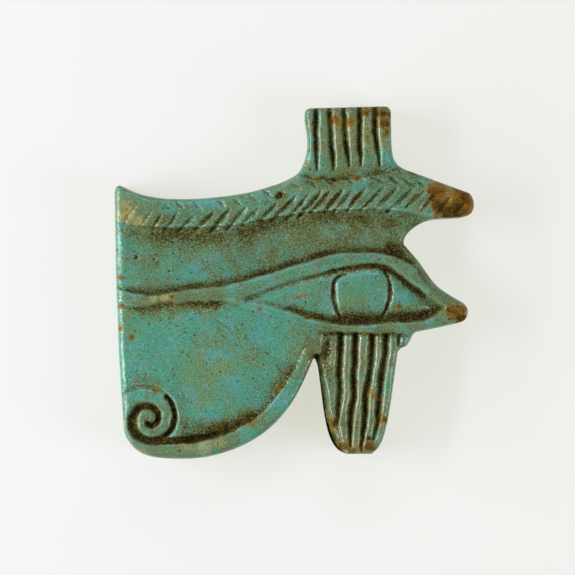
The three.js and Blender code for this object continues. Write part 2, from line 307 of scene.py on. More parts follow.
cove = {
    "lidTop": [(-4, 47.1), (1.3, 47), (3.8, 46.2), (6.5, 45.7), (11.8, 45.5), (17.2, 46.4), (23.8, 47.5),
               (29.3, 48.1), (33.4, 48.7), (38.7, 50.1), (46, 52.4), (51.3, 54), (57, 55.8), (62, 57.1),
               (67.3, 57.4), (71.6, 57.4), (75.5, 56.9), (79.3, 55.5), (82, 54.1), (83.4, 52.6),
               (85, 49.8), (87.6, 47.1), (89.8, 45.2), (91.7, 43.8), (93.9, 42.4)],
    "step": 0.42, "stepEdge": (-0.45, 0.5), "slope": 0.5, "slopeEdge": (-0.2, 2.6),
    "lidEdge": (-0.35, 0.4),
    "left": [(1, 0), (15, 0)], "leftShare": 0.2,  # shallower at the straight edge
    "rightRun": (0.68, 0.92), "rightLoss": 0.8,  # and towards the corner of the eye
    "gully": 0.3, "gullyReach": 0.75, "gullyEdge": (0.2, 1.8), "gullyEndRun": (0.66, 0.8),
}
eye = {
    "upperLid": [(35.5, 44.6), (38, 45.3), (40.5, 46.2), (45.8, 48.4), (53.1, 50.7), (60.2, 52.4),
                 (66.4, 53.8), (71.6, 54.3), (74.7, 53.9), (76.9, 52.9), (79.9, 51), (82.8, 48.7),
                 (85.7, 46.5), (88.2, 44.6), (90, 43.3), (91.4, 42.4)],
    "lowerLid": [(35.5, 44.6), (37, 43.8), (42.3, 42.7), (48.8, 41.1), (53.1, 39.5), (60.2, 37.9),
                 (65.5, 37.4), (71.1, 37.5), (76.9, 38.1), (81.9, 38.2), (86.6, 38.9), (89.6, 40.3),
                 (91.4, 41.9)],
    "depth": 1.15, "rimEdge": (-0.32, 0.42), "leftRun": (0.05, 0.6), "leftShare": 0.42,
    "ballRise": 1.0, "ballStart": 0.2, "ballReach": 2.3, "ballRound": 2.2, "ballBlend": 3,
    "upperGap": (0.05, 0.5), "upperGapRun": (0.3, 0.9),  # mm of channel under each lid at its left,
    "lowerGap": (0.12, 0.6), "lowerGapRun": (0.25, 0.6),  # and mm more at its right
    "irisLeft": [(64.4, 51.4), (62.4, 50.5), (61.1, 49.1), (60.8, 46.6), (61.1, 43.5), (61.8, 41),
                 (63, 39)],
    "irisRight": [(75, 52), (76.2, 49.9), (76.6, 47.1), (76.4, 44.1), (75.5, 41.5), (74.3, 39.5)],
    "irisWidth": 1.0, "irisDepth": 0.42, "irisFlat": 0.1, "irisEnds": (0.5, 0.6), "irisEarth": 0.9,
    "irisLift": 0.1, "irisEdge": (0.1, 0.7),
}
cheek = {
    "line": [(-4, 43.3), (1.3, 43.3), (3.5, 42.3), (4.9, 42), (9.3, 42.5), (13.8, 43.6), (19.1, 43.8),
             (23.8, 43.8), (28, 43.9), (32, 43.8), (35.2, 42.3), (38.5, 41.3), (42.3, 40.4), (45.5, 39.6),
             (48.8, 38.8), (51.3, 37.3), (53.5, 35.7), (54.3, 35.3)],
    "tail": [(54.3, 35.3), (53.5, 32.1), (52.5, 29.3), (51, 26.3), (49.1, 23.1), (45.8, 18.2),
             (42.1, 13.7), (37.1, 10), (30.9, 6.7), (26, 5.3), (21, 4.4), (17.4, 4.7)],
    "scroll": [(17.4, 4.7), (17.5, 8), (17.6, 12), (16.6, 16), (14.2, 18.9), (8.5, 20.2), (3, 19.2),
               (-4, 19)],
    "step": 0.34, "stepEdge": (-0.32, 0.4), "scrollEdge": (-0.5, 1.4), "beyond": 0.35,
    "channel": (0.06, 0.62), "channelReach": (0.6, 1.3), "channelRun": (0.35, 0.95),  # least, and more
    "channelStart": 0.5, "channelEdge": (-0.3, 0.45), "channelEndRun": (0.8, 1), "channelEndLoss": 0.75,
    "rise": (53, 36.5), "riseReach": 3.2, "riseLoss": 0.9,
}
scroll = {
    "centre": (9.7, 11.15), "outer": 7.8, "inner": 1.46, "start": 52, "sweep": 519, "curl": 1.11,
    "steps": 90, "heart": (18, 58), "width": 1.36, "depth": 0.95, "flat": 0.2,
    # shares of the width and the depth, ends, earth and shade; the crest's is partly a painted shadow above
    # the scroll band
    "cuts": {"whole": (1, 1, (0.8, 0.9), 1.5), "heart": (1.45, 1, (0.4, 0.4), 1.5),
             "turn": (1, 0.75, (0.25, 0.8), 1.3), "crest": (0.9, 0.22, (0.8, 0.4), 0.3)},
    "crest": [(14.3, 17.9), (12, 19.4), (8.5, 20.1), (5, 19.4), (2.4, 17.6), (0.4, 15.4)],
    "turn": [(34, 8.2), (29, 6.7), (24, 5.7), (20, 5.3), (16.5, 5.2), (13.3, 4.9), (9.8, 5), (6.9, 5.8)],
}
mark = {
    "step": 0.4, "border": [(57.8, 35.4), (83.2, 34.7), (86, 20), (86, -4), (52, -4), (56.4, 22)],
    "grooves": [[(63, 35.2), (62.9, 30), (62.4, 25), (62.7, 20), (62.1, 14), (62, 10)],
                [(67.1, 35.2), (66.9, 30), (66.5, 24), (66.4, 18), (65.5, 11), (65.4, 3.6)],
                [(71.8, 35.2), (71.3, 29), (71, 24), (69.9, 18), (69.5, 11), (68.6, 2.4)],
                [(75.5, 35.2), (75.1, 29), (74.1, 23), (73.6, 17), (73.1, 10.7), (71.9, 5.4)]],
    "width": 1.95, "depth": 0.95, "sharp": 1.7, "earthAndShade": 0.8,
    "stub": [(79.3, 35.4), (79.1, 31.8)], "stubWidth": 0.8, "stubDepth": 0.5,
    "neck": [(59.4, 33.4), (59.1, 30.4), (58.4, 27), (57.6, 24)],
    "neckWidth": 2.2, "neckDepth": 0.36, "neckEnds": (0.3, 0.3),
    "flank": [(56.2, 28.4), (57, 20.4), (58, 12.9), (59, 7.9), (60.8, 4), (63, 1.6)],
    "flankWidth": 2.6, "flankDepth": 1.9, "flankEnds": (0.5, 0.7),
    "foot": [(57, 10.2), (62.6, 9.4), (63.4, 4), (68, 1.6), (60, -1), (54, 2)],
    "footEdge": (-0.08, 0.12), "footDrop": 0.36, "footLoss": 0.6,
}
loop = {
    "step": 0.42, "border": [(46, 76), (51.5, 78.4), (55.5, 77.2), (58.3, 77.5), (61.5, 77.1), (70, 78.2),
                             (78.5, 79.9), (84, 80.2), (84, 103), (46, 103)],
    "grooves": [[(56.1, 100), (55.9, 90), (56.2, 80.2)], [(59.8, 97.4), (60.2, 88), (60.9, 80.6)],
                [(63.6, 98.6), (64, 90), (65.1, 81.4)], [(68.2, 97.6), (68, 89), (68.4, 81.4)],
                [(72.2, 98.2), (72.6, 90), (73.7, 81.6)]],
    "width": 1.7, "depth": 0.85, "sharp": 1.8, "earthAndShade": 0.8,
}
ribs = {"stepEdge": (-0.2, 0.4), "grooveEdge": (-0.12, 0.12), "ends": (1, 0.5), "earthPower": 1.5}
eyeCorner = {
    "mouth": [(93, 38.9), (95.5, 39.2), (98.6, 39.6)],
    "mouthWidth": 0.6, "mouthDepth": 0.4, "mouthEnds": (0.7, 0.9), "mouthEarth": 0.8,
    "lip": (96.2, 38.2, 1.3, 0.3),
}
wear = {  # pits and crust: across, up, radius in mm, depth in mm
    "pits": [(3.6, 69.6, 0.16, 0.2), (2.2, 68.8, 0.14, 0.2), (3.7, 67.9, 0.15, 0.2), (6.1, 56, 0.42, 0.34),
             (16.4, 57.1, 0.24, 0.2), (11, 55.6, 0.2, 0.2), (15.4, 52.2, 0.2, 0.2), (61.1, 77.6, 0.4, 0.35),
             (70.7, 5.7, 0.45, 0.35), (18.2, 2.3, 0.24, 0.25)],
    "pitFloor": 0.2, "pitEarth": 1.5, "crust": (77.6, 58.2, 0.85, 0.2),
    "chancePits": 110, "chanceRadius": (0.09, 0.2), "chanceDepth": 0.8, "chanceEarth": 4,
    "chanceField": (100, 98), "seed": 11,
    "wander": ((1.6, 0.08, 21), (0.6, 0.06, 23), (0.3, 0.03, 25)),  # size, reach, seed
    "waves": ((7, 0.07, 1), (2.4, 0.045, 2), (0.9, 0.03, 3), (0.4, 0.02, 4)),  # size, height, seed
}
# Earth that lies in drifts, some of it painted shade, each as its curve, its reach in mm and its strength
driftLimit, driftOverlap, driftSteps = 2.5, 0.5, 3
earthAndShadeDrifts = [
    # earth and painted shade under the brow's lower edge
    ([(5, 62.8), (12, 62.4), (20, 62), (30, 62.2), (37, 63.4), (42, 64.6)], 1.15, 0.72),
    ([(40, 64.4), (50, 66.2), (60, 67), (70, 67), (80, 66), (87, 64.6)], 1.1, 0.5),
    ([(4, 47.2), (8, 46.7), (12, 46.4), (17, 47.2), (23, 48.2), (29, 48.9)], 0.55, 0.52),
    ([(29, 48.9), (33.4, 49.6), (38.7, 51), (46, 53.3), (51.3, 54.9), (57, 56.7), (62, 58), (67, 58.3)],
     0.6, 0.45),
    ([(67, 58.4), (72, 58.4), (76, 58), (79.6, 56.6), (82.6, 55)], 0.65, 0.4),
    ([(76.4, 59), (78, 58.2), (79, 57)], 0.75, 1.3),
    ([(36, 55), (48, 58.5), (60, 62.5), (72, 63.5), (80, 62)], 4.4, 0.3),
    ([(13, 62), (20, 61.6), (30, 61.8), (36, 63)], 1.6, 0.3),
    ([(12, 58), (25, 57), (40, 58)], 4, 0.18),
    ([(60, 54.2), (58, 60), (70, 61), (80, 60)], 2.6, 0.15),
    ([(83, 62), (82, 58), (85, 54)], 1.5, 0.15),
    ([(4, 44.6), (16, 45), (30, 46)], 1, 0.2),
    ([(87, 52), (90, 48.6), (94, 45)], 1.2, 0.2),
    ([(37, 43.8), (42, 43.3), (48.8, 41.9), (53.1, 40.5), (58, 39.4)], 0.5, 0.3),
    # earth and painted shade in the channel above the lower lid
    ([(62, 39), (68, 38.7), (75, 39), (80, 39.3), (85, 39.9), (89, 41.3)], 0.72, 1.35),
    ([(51, 41.2), (56, 39.8), (62, 38.8)], 0.4, 0.2),
    ([(64, 40.4), (70, 40), (78, 40.6), (84, 41.6)], 0.9, 0.42),
    ([(38.5, 44.9), (45.8, 47.7), (53.1, 50), (60.2, 51.8)], 0.35, 0.35),
    ([(60, 51.7), (66.4, 53.1), (71.6, 53.6), (74.5, 53.1)], 0.5, 0.85),
    # earth and painted shadow beneath the upper lid's right end
    ([(74.5, 53), (77, 52), (80, 50), (83, 47.7), (85.6, 45.6)], 0.45, 0.95),
    ([(83.4, 46.6), (85.6, 45), (86.6, 43.6)], 0.7, 0.6),
    ([(37.5, 44.6), (40, 44.9)], 0.5, 0.5),
    ([(4, 41.6), (9.3, 41.9), (13.8, 42.9), (19, 43), (24, 43), (29, 43)], 0.55, 0.8),
    ([(8, 40.4), (16, 41.4), (26, 41.8)], 0.9, 0.35),
    ([(54, 33), (52, 29), (49, 23.6), (45.4, 18.6), (41.6, 14.2), (36.8, 10.6)], 0.35, 0.5),
    ([(38, 11.6), (33, 8.8), (28.5, 7.4), (24, 6.6), (19.5, 6.4)], 0.75, 1.0),
    ([(37, 12), (31, 10), (25, 9.2), (19.5, 9)], 1.0, 0.42),
    ([(30, 9.2), (24, 8.2), (19.2, 7.8)], 0.9, 0.45),
    ([(23, 5.9), (19, 5.4), (15, 5.1), (11, 5.2)], 0.62, 1.45),
    # earth and painted shade along the loop's border with the brow
    ([(52.4, 78.3), (55.4, 77.3), (58.3, 77.7), (61.3, 77.3)], 0.5, 0.75),
    ([(61.3, 77.4), (66, 78), (70, 78.8), (78, 79.8), (83, 79)], 0.6, 0.5),
    # painted shadow of the step between the cheek field and the mark
    ([(59.2, 32.4), (58.7, 29), (58, 25)], 0.5, 0.3),
    # painted shadow on the side wall in the notch between the tail and the mark
    ([(54.8, 28.6), (56.4, 28.4), (57.6, 29)], 0.5, 1.1),
    # earth and painted shade down the mark's flank, in the tail's shadow
    ([(57.6, 24), (58.4, 16), (59.8, 9), (62, 4.4)], 0.6, 0.9),
    ([(57, 35.1), (64, 34.9), (72, 34.9), (80, 34.9)], 0.32, 0.9),
    ([(57.8, 10), (60, 9.8), (62.8, 9.5)], 0.25, 0.9),
    ([(60, 24), (60.3, 17), (61, 11)], 0.7, 0.4),
    ([(60, 30), (66, 22), (74, 20), (66, 6)], 6, 0.5),
    ([(74, 34), (80, 33)], 1.5, 0.4),
    ([(57, 92), (65, 88), (74, 92)], 4, 0.42),
    ([(56, 97.6), (65, 97.6), (75, 96.6)], 1.0, 0.4),
    ([(46, 76.8), (60, 77.6), (72, 79), (84, 77)], 1.6, 0.25),
    ([(45.2, 72.8), (46, 73.5), (47, 73.3)], 0.4, 1.7),
    ([(43, 17.4), (46, 21), (48.6, 25.5)], 0.9, 0.4),
    ([(4, 20.6), (8, 21.8), (12, 20.6)], 0.9, 0.25),
    ([(19.4, 17), (20, 13), (19.8, 9)], 0.8, 0.25),
    ([(30, 33), (38, 30), (44, 25), (41, 18)], 2.4, 0.16),
    ([(12, 70), (30, 70.4), (50, 74), (70, 76), (86, 74)], 1.4, 0.14),
    ([(12, 66.4), (30, 66.8), (50, 70.4), (70, 72.6), (84, 72), (92, 70.4)], 1.1, 0.42),
    ([(88.6, 71), (91.4, 69.4), (96, 68)], 0.6, 0.6),
]


def groove(spots, curve, width, depth, ends, flat=0.0, sharp=1.0):
    taper, fullness = 0.3, 0.7  # share of the length in which an end grows to full size
    carved = np.zeros(len(spots))
    low, high = curve.min(0) - width, curve.max(0) + width
    close = np.all((spots > low) & (spots < high), axis=1)
    gap, along = nearest(curve, spots[close])
    swell = (np.minimum(1, ends[0] + (1 - ends[0]) * along / taper)
             * np.minimum(1, ends[1] + (1 - ends[1]) * (1 - along) / taper))
    carved[close] = depth * swell ** fullness * (1 - smooth(flat, 1, gap / (width / 2 * swell))) ** sharp
    return carved


def hollow(spots, place, radius, depth):
    gap = np.hypot(*(spots - at(place)[0]).T)
    return depth * (1 - smooth(wear["pitFloor"], 1, gap / radius))


class Relief:  # what the carving takes off, and the earth and painted shade it leaves
    def __init__(self, spots):
        self.spots = spots
        self.depth, self.cuts, self.earthAndShade = np.zeros((3, len(spots)))

    def stain(self, share):
        self.earthAndShade = np.maximum(self.earthAndShade, share)

    def incise(self, curve, width, depth, ends, dark, flat=0.0, sharp=1.0):
        cut = groove(self.spots, curve, width, depth, ends, flat, sharp)
        self.cuts = np.maximum(self.cuts, cut)
        self.stain(dark * cut / depth)

    def sink(self, place, radius, depth, dark):
        sinking = hollow(self.spots, place, radius, depth)
        self.depth += sinking
        self.stain(dark * sinking / depth)


def wandered(spots):  # no line of the carving runs quite true
    aside = np.zeros_like(spots)
    for size, reach, seed in wear["wander"]:
        aside += np.column_stack([drift(spots, size, seed), drift(spots, size, seed + 1)]) * reach
    return spots + aside


def strokeBrow(relief, chance):
    for row, firmness, ends, overrun in brow["rows"]:
        for x0, y0, x1, y1 in brow[row]:
            bend = chance.uniform(-brow["bend"], brow["bend"], 2)
            x1, y1 = x1 + overrun * (x1 - x0), y1 + overrun * (y1 - y0)
            path = spline([(x0, y0), ((x0 + x1) / 2 + bend[0], (y0 + y1) / 2 + bend[1]), (x1, y1)],
                          brow["strokeSteps"])
            worn = brow["wornShare"] + (1 - brow["wornShare"]) * min(x1 / brow["wornTo"], 1)
            firm = chance.uniform(*brow["pressure"]) * firmness * worn
            relief.incise(path, brow["strokeWidth"] * firm, brow["strokeDepth"] * firm, ends,
                          brow["strokeEarth"] * firm ** 3, sharp=brow["sharp"])


def sinkCove(relief):  # the brow falls off from its spine to the cove under it
    spots = relief.spots
    under, lidTop = spline(brow["under"]), spline(cove["lidTop"])
    inCove = np.vstack([under, lidTop[::-1]])
    nicks = brow["notch"] * (relief.cuts / brow["strokeDepth"] - brow["notchFrom"])
    toUnder = signed(inCove, under, spots)[0] + nicks
    toLid, alongLid = signed(inCove, lidTop, spots)
    coved = cove["step"] * smooth(*cove["stepEdge"], toUnder)
    coved += cove["slope"] * smooth(*cove["slopeEdge"], toUnder)
    coved *= cove["leftShare"] + (1 - cove["leftShare"]) * smooth(*at(cove["left"])[:, 0], spots[:, 0])
    coved *= 1 - cove["rightLoss"] * smooth(*cove["rightRun"], alongLid)
    gully = cove["gully"] * (1 - smooth(*cove["gullyEndRun"], alongLid))
    coved += gully * np.exp(-(toLid / cove["gullyReach"]) ** 2) * smooth(*cove["gullyEdge"], toUnder)
    toSpine = nearest(spline(brow["spine"]), spots)[0]
    ridge = brow["fall"] * smooth(brow["crown"], 1, toSpine / brow["halfBreadth"])
    overLid = inside(np.vstack([under, at(brow["farCorners"])]), spots) | inside(inCove, spots)
    relief.depth += np.where(overLid, (ridge + coved) * smooth(*cove["lidEdge"], toLid), 0)


def sinkSocket(relief):  # the eyeball swells up in it, most between the iris lines
    spots = relief.spots
    upper, lower = spline(eye["upperLid"]), spline(eye["lowerLid"])
    socket = np.vstack([upper, lower[::-1]])
    toUpper, alongUpper = signed(socket, upper, spots)
    toLower, alongLower = signed(socket, lower, spots)
    toRim = np.where(np.abs(toUpper) < np.abs(toLower), toUpper, toLower)
    upperGap = eye["upperGap"][0] + eye["upperGap"][1] * smooth(*eye["upperGapRun"], alongUpper)
    lowerGap = eye["lowerGap"][0] + eye["lowerGap"][1] * smooth(*eye["lowerGapRun"], alongLower)
    blend = eye["ballBlend"]
    swell = -np.log(np.exp(-blend * (toUpper - upperGap)) + np.exp(-blend * (toLower - lowerGap))) / blend
    swell = 1 - (1 - np.clip((swell - eye["ballStart"]) / eye["ballReach"], 0, 1)) ** eye["ballRound"]
    ball = (eye["depth"] - eye["ballRise"] * swell) * smooth(*eye["rimEdge"], toRim)
    ball *= eye["leftShare"] + (1 - eye["leftShare"]) * smooth(*eye["leftRun"], alongUpper)
    left, right = spline(eye["irisLeft"]), spline(eye["irisRight"])
    iris = inside(np.vstack([left, right[::-1]]), spots)
    toLine = np.minimum(nearest(left, spots)[0], nearest(right, spots)[0])
    ball -= np.where(iris, eye["irisLift"] * smooth(*eye["irisEdge"], toLine) * swell, 0)
    relief.depth += np.where(toRim > eye["rimEdge"][0], ball, 0)


def sinkCheek(relief):  # the field inside the tail, with a channel along it
    spots = relief.spots
    line, tail, byScroll = (spline(cheek[name]) for name in ("line", "tail", "scroll"))
    field = np.vstack([line, tail[1:], byScroll[1:]])
    toTop = signed(field, line, spots)[0]
    toTail, alongTail = signed(field, tail, spots)
    toScroll = signed(field, byScroll, spots)[0]
    toSide = np.where(np.abs(toTop) < np.abs(toTail), toTop, toTail)
    low = smooth(*cheek["channelRun"], alongTail)
    channel, reach = (cheek[key][0] + cheek[key][1] * low for key in ("channel", "channelReach"))
    channel *= 1 - cheek["channelEndLoss"] * smooth(*cheek["channelEndRun"], alongTail)
    channel *= np.exp(-(np.maximum(toTail - cheek["channelStart"], 0) / reach) ** 2)
    sunk = cheek["step"] * smooth(*cheek["stepEdge"], toSide)
    sunk += channel * smooth(*cheek["channelEdge"], toTail)
    toRise = np.hypot(*(spots - at(cheek["rise"])).T)
    sunk *= 1 - cheek["riseLoss"] * np.exp(-(toRise / cheek["riseReach"]) ** 2)
    relief.depth += np.where(toSide > -cheek["beyond"], sunk * smooth(*cheek["scrollEdge"], toScroll), 0)


def carveRibs(relief, form):  # mark and loop lie a step under what they grow out of
    spots = relief.spots
    toEdge = toBorder(at(form["border"]), spots)
    relief.depth += form["step"] * smooth(*ribs["stepEdge"], toEdge)
    ribbed = np.zeros(len(spots))
    for places in form["grooves"]:
        cut = groove(spots, spline(places), form["width"], form["depth"], ribs["ends"],
                     sharp=form["sharp"])
        ribbed = np.maximum(ribbed, cut)
    if "foot" in form:
        onFoot = smooth(*form["footEdge"], toBorder(at(form["foot"]), spots))
        relief.depth += form["footDrop"] * onFoot
        ribbed *= 1 - form["footLoss"] * onFoot
        stub = groove(spots, spline(form["stub"]), form["stubWidth"], form["stubDepth"], (1, 1))
        ribbed = np.maximum(ribbed, stub)
    ribbed *= smooth(*ribs["grooveEdge"], toEdge)
    relief.depth += ribbed
    relief.stain(form["earthAndShade"] * (ribbed / form["depth"]) ** ribs["earthPower"])


def scrollCurve():
    share = np.linspace(0, 1, scroll["steps"])
    reach = scroll["inner"] + (scroll["outer"] - scroll["inner"]) * (1 - share) ** scroll["curl"]
    angle = np.radians(scroll["start"] - scroll["sweep"] * share)
    return at(np.column_stack([np.cos(angle), np.sin(angle)]) * reach[:, None] + scroll["centre"])


def inciseLines(relief):
    for side in ("irisLeft", "irisRight"):
        relief.incise(spline(eye[side]), eye["irisWidth"], eye["irisDepth"], eye["irisEnds"],
                      eye["irisEarth"], eye["irisFlat"])
    whole = scrollCurve()
    paths = {"whole": whole, "heart": whole[slice(*scroll["heart"])],
             "turn": spline(scroll["turn"]), "crest": spline(scroll["crest"])}
    for name, (wide, deep, ends, dark) in scroll["cuts"].items():
        relief.incise(paths[name], scroll["width"] * wide, scroll["depth"] * deep, ends, dark,
                      scroll["flat"])
    relief.incise(spline(eyeCorner["mouth"]), eyeCorner["mouthWidth"], eyeCorner["mouthDepth"],
                  eyeCorner["mouthEnds"], eyeCorner["mouthEarth"])
    relief.depth += relief.cuts
    for name in ("flank", "neck"):
        relief.depth += groove(relief.spots, spline(mark[name]), mark[name + "Width"], mark[name + "Depth"],
                               mark[name + "Ends"])


def wearDown(relief, chance):  # pits, the crusted spot, pinholes and waves of the glaze
    for x, y, radius, deep in [brow["pit"], eyeCorner["lip"]] + wear["pits"]:
        relief.sink((x, y), radius, deep, wear["pitEarth"])
    x, y, radius, high = wear["crust"]
    relief.depth -= hollow(relief.spots, (x, y), radius, high)
    for _ in range(wear["chancePits"]):
        place = chance.uniform((0, 0), wear["chanceField"])
        radius = chance.uniform(*wear["chanceRadius"])
        deep = radius * wear["chanceDepth"]
        relief.sink(place, radius, deep, wear["chanceEarth"] * deep)
    relief.depth += waves(relief.spots, wear["waves"])


def layDrifts(relief):
    for places, reach, strength in earthAndShadeDrifts:
        gap = nearest(spline(places, driftSteps), relief.spots, driftLimit * reach)[0]
        less = 1 - driftOverlap * np.minimum(relief.earthAndShade, 1)
        relief.earthAndShade += strength * np.exp(-(gap / reach) ** 2) * less


def carve(spots):
    relief = Relief(wandered(spots))
    chance = np.random.default_rng(wear["seed"])
    strokeBrow(relief, chance)
    sinkCove(relief)
    sinkSocket(relief)
    sinkCheek(relief)
    carveRibs(relief, mark)
    carveRibs(relief, loop)
    inciseLines(relief)
    wearDown(relief, chance)
    layDrifts(relief)
    return relief.depth, relief.earthAndShade


def neighbourMean(mesh, values, rounds):
    ends = np.empty(len(mesh.edges) * 2, np.int32)
    mesh.edges.foreach_get("vertices", ends)
    a, b = ends.reshape(-1, 2).T
    count = np.bincount(a, minlength=len(values)) + np.bincount(b, minlength=len(values))
    for _ in range(rounds):
        total = (np.bincount(a, values[b], len(values)) + np.bincount(b, values[a], len(values)))
        values = 0.5 * values + 0.5 * total / count
    return values


def saveLayer(mesh, name, values):
    layer = mesh.attributes.new(name, "FLOAT", "POINT")
    layer.data.foreach_set("value", np.clip(values, 0, 1).astype(np.float32))


# Iron stains and bleached glaze, as (across, up, radius in mm, strength)
stains = {
    "amber": [(98, 71, 3.6, 1.2), (94.8, 71.2, 3.8, 1.2), (92.4, 71.6, 2.8, 1.1), (90, 73.2, 2.1, 1),
              (88, 74.6, 1.4, 0.8), (96, 41, 1.5, 1.2), (94.2, 41, 1.2, 1), (96.4, 38.3, 1, 0.8),
              (61.3, 9.9, 0.9, 0.8), (63.1, 3.6, 1, 0.8), (70.6, 3.6, 1.1, 1), (66.5, 2.2, 0.9, 0.6),
              (74.6, 10.8, 1, 0.85), (73.2, 9.6, 0.6, 0.7), (71.6, 18, 1, 0.5), (58.2, 12, 0.8, 0.45),
              (46.6, 74.9, 0.45, 0.6), (47.3, 73, 0.35, 0.5), (61.2, 94.2, 1, 0.55), (65.4, 94, 1.1, 0.5),
              (70.1, 96.2, 0.9, 0.8), (72.5, 97.4, 0.8, 0.6), (74.5, 95.4, 1.25, 1), (75, 93, 1, 0.95),
              (75.6, 90.8, 0.8, 0.7)],
    "rust": [(0.8, 58, 0.4, 0.9), (1.3, 52.8, 0.35, 0.8), (1.7, 50.3, 0.69, 1), (2.2, 42.5, 0.56, 0.9),
             (2.2, 63.6, 0.5, 0.8), (3, 69.2, 0.62, 0.5), (3.4, 66.8, 0.62, 0.5), (9.6, 64, 0.5, 0.3),
             (4.1, 39.6, 0.38, 0.7), (1.5, 36.3, 0.53, 0.9), (4.7, 33.8, 0.56, 1), (2.6, 30.2, 0.38, 0.6),
             (6.5, 21.7, 0.5, 1), (11.5, 18.9, 0.62, 0.85), (38.7, 9.2, 0.56, 0.8), (16, 45.1, 0.53, 0.9),
             (33.5, 29.9, 0.5, 0.6), (38.8, 27.7, 0.42, 0.75), (41.3, 26.8, 0.5, 0.55),
             (36.9, 31, 0.4, 0.55), (38, 17.9, 0.42, 0.6), (34.6, 17.9, 0.4, 0.45), (28, 40, 0.4, 0.65),
             (22.1, 30.2, 0.3, 0.4), (30.2, 36.9, 0.4, 0.4), (44.6, 22.4, 0.55, 0.5),
             (46.6, 25, 0.4, 0.6), (45.6, 19.4, 0.7, 0.6), (40.6, 41.7, 0.62, 0.7), (34, 37, 0.38, 0.5),
             (28, 42.6, 0.4, 0.5), (50.8, 45.1, 0.53, 0.62), (51.8, 45.3, 0.53, 0.66),
             (52.8, 45.4, 0.53, 0.66), (54, 45.3, 0.5, 0.6), (79.1, 42.4, 0.45, 0.9),
             (77.2, 46, 0.38, 0.6), (52.5, 56, 0.38, 0.5), (53.4, 39.4, 0.5, 0.8),
             (61.3, 94.5, 0.75, 0.9), (65.4, 93.9, 0.75, 0.7), (57.3, 97, 0.75, 0.4),
             (67.5, 77.8, 0.56, 0.9), (56, 77.6, 0.88, 0.5), (32, 71, 0.31, 0.8), (69.6, 35.3, 0.5, 0.7)],
    "buff": [(4, 68, 1.8, 0.9), (7, 66, 1.4, 0.8), (3, 70, 1.2, 0.6), (11, 44.5, 0.9, 0.7),
             (14.5, 44.8, 1.1, 0.8), (25, 3.8, 1.7, 0.75), (29, 4.6, 1, 0.5), (2.2, 9, 0.9, 0.7),
             (1.6, 6, 0.9, 0.5), (8, 1.8, 1, 0.4), (61, 6.6, 1.3, 0.6), (64.5, 2.6, 1, 0.5),
             (31.5, 26, 2.5, 0.25), (22, 14, 2, 0.2), (61, 28, 4, 0.4), (69, 29, 5, 0.42),
             (68, 16, 5, 0.45), (62, 91, 5, 0.45), (71, 90, 5, 0.45), (66, 4, 3, 0.6), (58, 10, 1.5, 0.4),
             (20, 4, 1.4, 0.5)],
    "wash": [(62, 28, 6, 0.9), (71, 28, 6, 0.9), (67, 14, 7, 0.95), (67, 4, 5, 0.9), (74, 9, 2.5, 0.9),
             (65, 92, 7, 0.9), (65, 84, 6, 0.8), (30, 60, 6, 0.45), (44, 62, 6, 0.5), (55, 62, 7, 0.6),
             (70, 63, 7, 0.65), (80, 60, 5, 0.7), (45, 71, 3, 0.4), (60, 74, 4, 0.4), (74, 76, 5, 0.4),
             (20, 68, 4, 0.3), (8, 67, 4, 0.9), (86, 71, 3, 0.7), (86, 53, 3.4, 0.8), (91, 46, 3.4, 0.9),
             (93, 41, 3, 0.9), (10, 45, 3, 1), (18, 45.6, 3, 0.9), (27, 46, 3, 0.8), (36, 46, 3, 0.5),
             (58, 37.4, 2, 0.7), (66, 36.4, 2, 0.9), (75, 36.4, 2, 0.9), (84, 37.6, 2.5, 0.9),
             (70, 43, 6, 0.45), (50, 44, 4, 0.4), (58, 46, 4, 0.4), (9.7, 11, 4.4, 0.78), (8, 58, 4, 0.4),
             (15, 56, 4, 0.4), (62, 12, 3, 0.9), (30, 5, 3.4, 1), (40, 11, 2.5, 0.7), (20, 3, 3, 0.9),
             (12, 2.2, 3, 0.9), (4, 3, 3, 0.7), (48, 24, 2, 0.4), (50, 56, 2, 0.3), (9, 24, 3, 0.3),
             (46, 50.6, 2, 0.55), (56, 53.8, 2, 0.6), (66, 55.8, 2.2, 0.65), (75, 55.4, 2.2, 0.65),
             (82, 51.6, 2.2, 0.6)],
}
stainWobble = ((0.7, 0.4, 51), (0.3, 0.25, 52))  # size, height, seed
stainFade = (0.15, 1.3)  # shares of the radius


def spotted(spots, places):
    total = np.zeros(len(spots))
    wobble = 1 + waves(spots, stainWobble)
    for x, y, radius, strength in places:
        gap = np.hypot(*(spots - at((x, y))[0]).T)
        total = np.maximum(total, strength * (1 - smooth(*stainFade, gap / radius * wobble)))
    return total


# How the carving meets the blank, and how earth and painted shade settle on what is carved
surface = {
    "fade": 0.4,  # mm under the top where the carving has its full depth
    "softRounds": 3, "highest": 0.1, "deepest": 2.4,
    "sideIn": 0.06, "sideSlant": 0.7, "sideWaves": ((3.1, 0.05, 31), (0.9, 0.02, 32)), "middle": (45, 45),
    "hollows": ((10, 0.1, -0.6, 0.32), (60, 0.3, -0.7, 0.26)),  # rounds, mm to be full, least, strength
    "patchy": ((2.3, 0.4, 61), (0.9, 0.2, 62)), "ridge": 0.06,
}


def unevenSides(co, share):  # the sides and the back are a little uneven too
    slant = surface["sideSlant"] * co[:, 2]
    rough = waves(np.column_stack([co[:, 0] + slant, co[:, 1] - slant]), surface["sideWaves"])
    middle = np.array([*at(surface["middle"])[0], 0])
    outward = (co - middle) / np.linalg.norm(co - middle, axis=1)[:, None]
    outward[:, 2] = 0
    return co - outward * (surface["sideIn"] + rough)[:, None] * (1 - share)[:, None]


